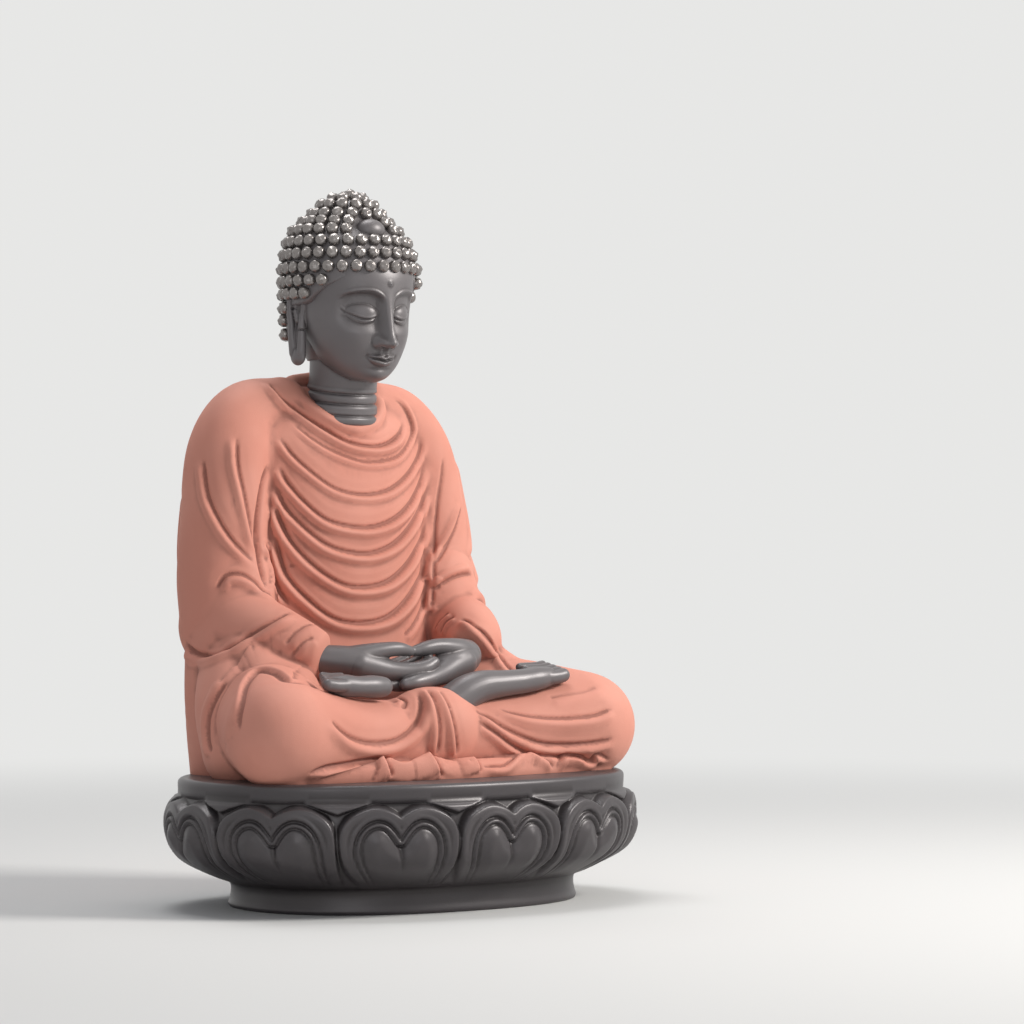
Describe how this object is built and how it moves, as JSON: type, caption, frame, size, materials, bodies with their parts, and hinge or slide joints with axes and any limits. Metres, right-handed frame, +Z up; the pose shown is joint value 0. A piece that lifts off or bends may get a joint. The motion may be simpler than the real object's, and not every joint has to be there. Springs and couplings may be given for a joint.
{
  "type": "ceramic buddha statue",
  "caption": "Ceramic figure of a Buddha seated cross-legged in a draped robe on an oval lotus base, hands resting in the lap.",
  "frame": {"origin": "centre of the footprint on the surface that the base rests on", "axes": "+Z up, the figure looks along -Y, its left hand is on the +X side"},
  "size_m": [0.2548, 0.1798, 0.3577],
  "materials": {
    "dark_clay": "satin dark grey clay",
    "robe_clay": "matte salmon terracotta",
    "curl_glaze": "glossy dark grey clay"
  },
  "bodies": {
    "root": {"buddha_statue": "dark_clay"}
  },
  "joints": []
}
